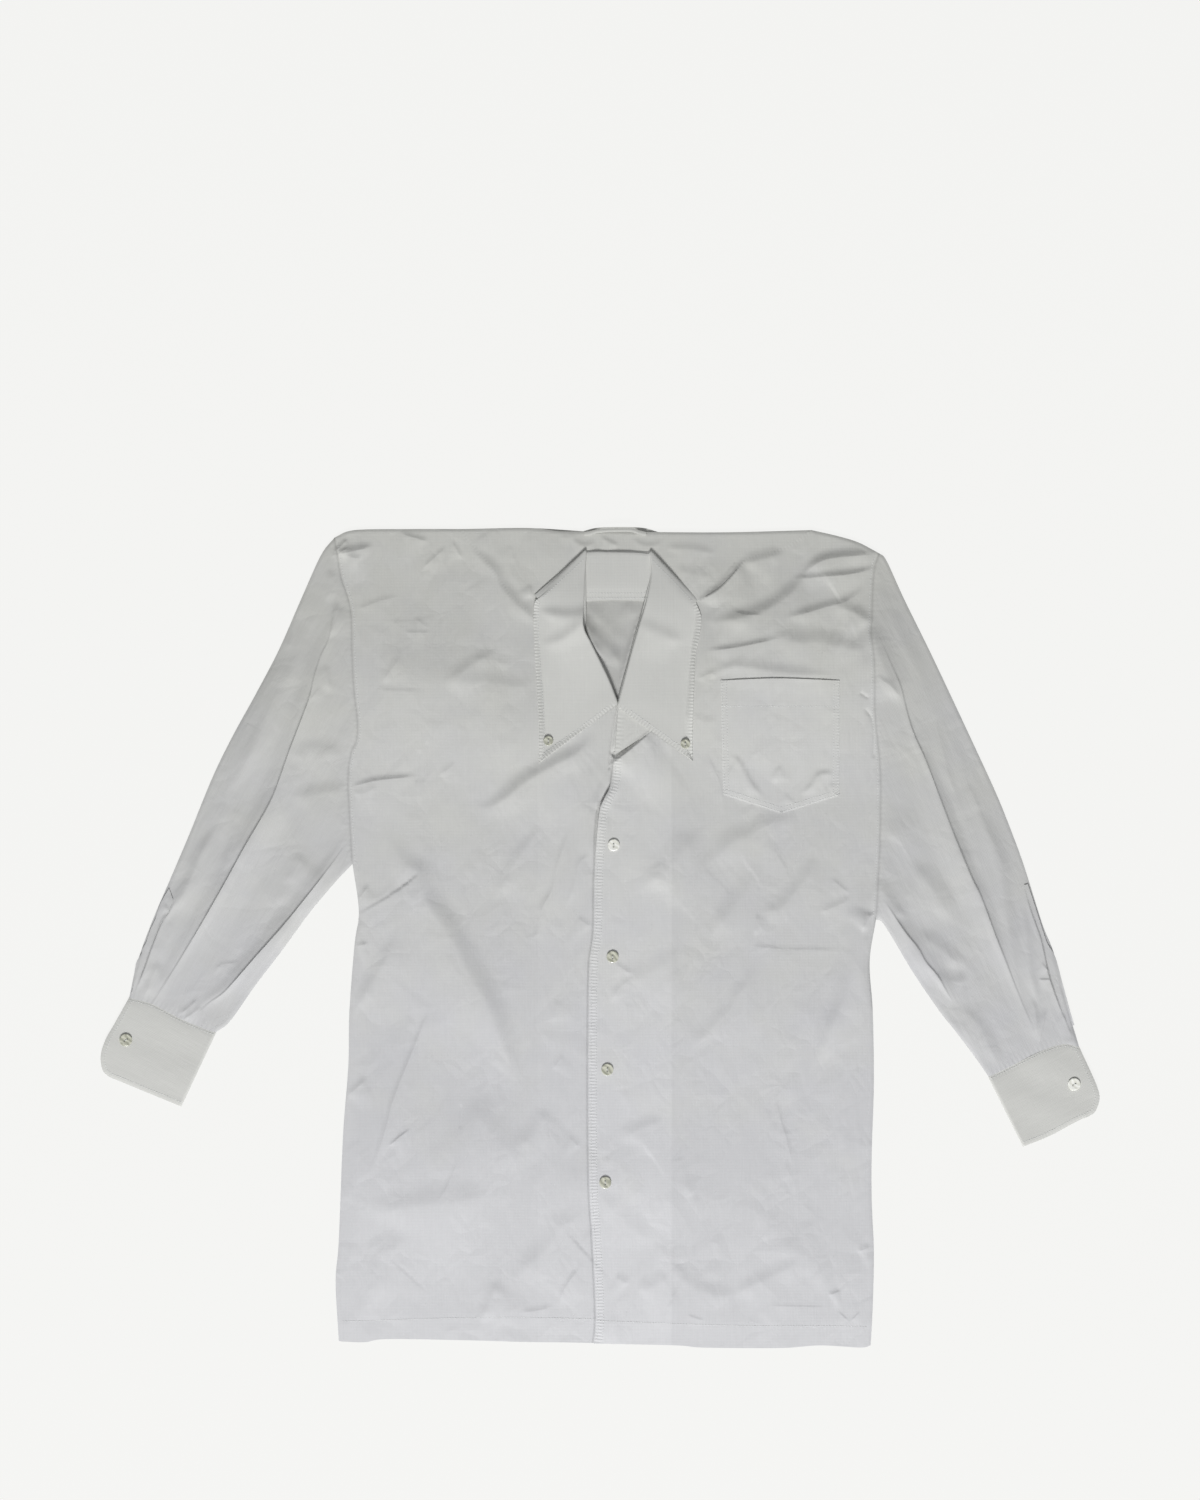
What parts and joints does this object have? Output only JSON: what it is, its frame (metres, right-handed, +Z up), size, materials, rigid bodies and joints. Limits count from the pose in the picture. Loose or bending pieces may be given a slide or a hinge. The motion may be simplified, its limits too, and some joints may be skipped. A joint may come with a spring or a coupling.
{
  "type": "crumpled button-down shirt",
  "caption": "Creased long-sleeved shirt laid flat with its front up, with a long pointed button-down collar, patch pocket and buttoned cuffs.",
  "frame": {"origin": "middle of the bounding box, on the surface that the shirt lies on", "axes": "+X to the viewer's right across both sleeves, +Y towards the collar, +Z up out of the surface"},
  "size_m": [0.9477, 0.7796, 0.0118],
  "materials": {
    "poplin": "plain woven cotton poplin, creased, matt",
    "poplin_stiff": "the same cloth over an interlining, matt",
    "shell_button": "pearly grey-green, polished"
  },
  "bodies": {
    "root": {"back": "poplin", "yoke": "poplin", "front_left": "poplin", "front_right": "poplin", "sleeve_left": "poplin", "sleeve_right": "poplin", "placket_left": "poplin", "placket_right": "poplin", "cuff_left": "poplin_stiff", "cuff_right": "poplin_stiff", "collar_stand": "poplin_stiff", "collar_fall": "poplin_stiff", "pocket": "poplin", "hanger_loop": "poplin", "button_front_1": "shell_button", "button_front_2": "shell_button", "button_front_3": "shell_button", "button_front_4": "shell_button", "button_collar_left": "shell_button", "button_collar_right": "shell_button", "button_cuff_left": "shell_button", "button_cuff_right": "shell_button"}
  },
  "joints": []
}
